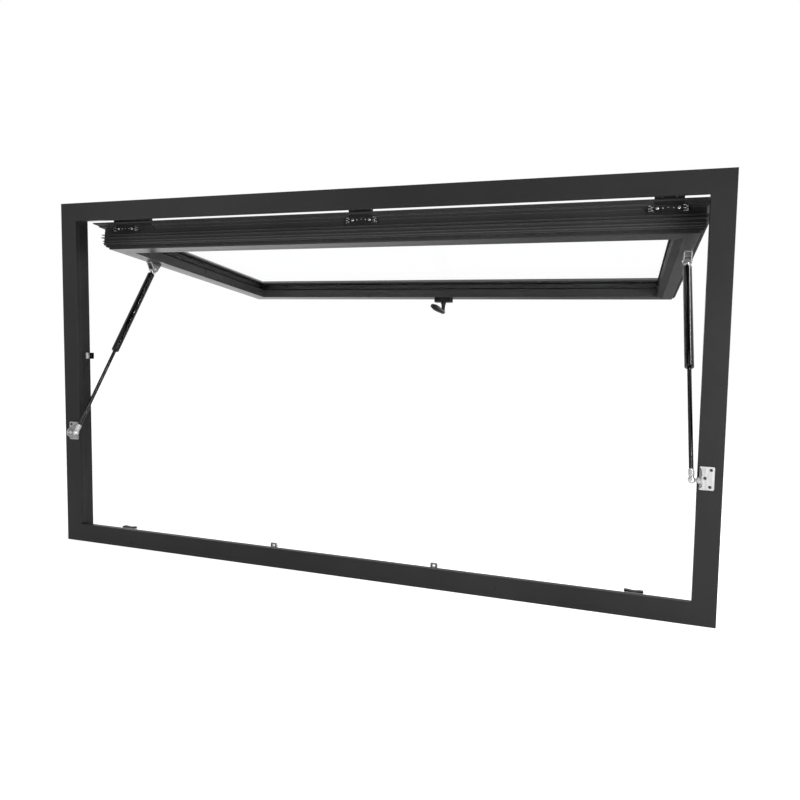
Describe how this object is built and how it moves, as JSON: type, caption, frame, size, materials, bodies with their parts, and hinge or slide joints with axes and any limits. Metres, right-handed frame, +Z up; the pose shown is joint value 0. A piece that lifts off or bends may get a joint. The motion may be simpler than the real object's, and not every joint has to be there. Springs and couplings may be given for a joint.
{
  "type": "top-hung gas-strut window",
  "caption": "Top-hung window of black aluminium: a double-glazed sash swung out on head hinges, held open by gas struts beside the jambs, with a lever handle, keepers and seals.",
  "frame": {"origin": "middle of the sill's underside, half-way through the frame's depth", "axes": "+X along the width, to the right as seen from the room; +Y from the room outwards; +Z up"},
  "size_m": [1.8, 1.0946, 1],
  "materials": {
    "black_coating": "satin",
    "seal_rubber": "matte",
    "glass": "polished",
    "spacer_bar": "matte",
    "hinge_metal": "satin",
    "bracket_steel": "satin",
    "sash_bracket_metal": "satin",
    "socket_steel": "satin",
    "rod_chrome": "polished",
    "cylinder_black": "gloss",
    "keeper_steel": "satin",
    "handle_black": "satin"
  },
  "bodies": {
    "root": {"bottom_glazing_bead": "black_coating", "frame_head": "black_coating", "frame_left_jamb": "black_coating", "frame_right_jamb": "black_coating", "frame_seal": "seal_rubber", "frame_sill": "black_coating", "glass_spacer": "spacer_bar", "handle_base": "handle_black", "handle_lever": "handle_black", "inner_gasket": "seal_rubber", "inner_pane": "glass", "left_cylinder_socket": "socket_steel", "left_frame_bracket": "bracket_steel", "left_glazing_bead": "black_coating", "left_hinge_frame_leaf": "hinge_metal", "left_hinge_sash_leaf": "hinge_metal", "left_jamb_keeper": "keeper_steel", "left_rod_socket": "socket_steel", "left_sash_bracket": "sash_bracket_metal", "left_sill_keeper": "keeper_steel", "left_strut_cylinder": "cylinder_black", "left_strut_rod": "rod_chrome", "lock_rollers": "keeper_steel", "middle_hinge_frame_leaf": "hinge_metal", "middle_hinge_sash_leaf": "hinge_metal", "outer_gasket": "seal_rubber", "outer_pane": "glass", "right_cylinder_socket": "socket_steel", "right_frame_bracket": "bracket_steel", "right_glazing_bead": "black_coating", "right_hinge_frame_leaf": "hinge_metal", "right_hinge_sash_leaf": "hinge_metal", "right_jamb_keeper": "keeper_steel", "right_rod_socket": "socket_steel", "right_sash_bracket": "sash_bracket_metal", "right_sill_keeper": "keeper_steel", "right_strut_cylinder": "cylinder_black", "right_strut_rod": "rod_chrome", "sash_bottom_rail": "black_coating", "sash_left_stile": "black_coating", "sash_right_stile": "black_coating", "sash_seal": "seal_rubber", "sash_top_rail": "black_coating", "small_sill_keepers": "keeper_steel", "top_glazing_bead": "black_coating"}
  },
  "joints": []
}
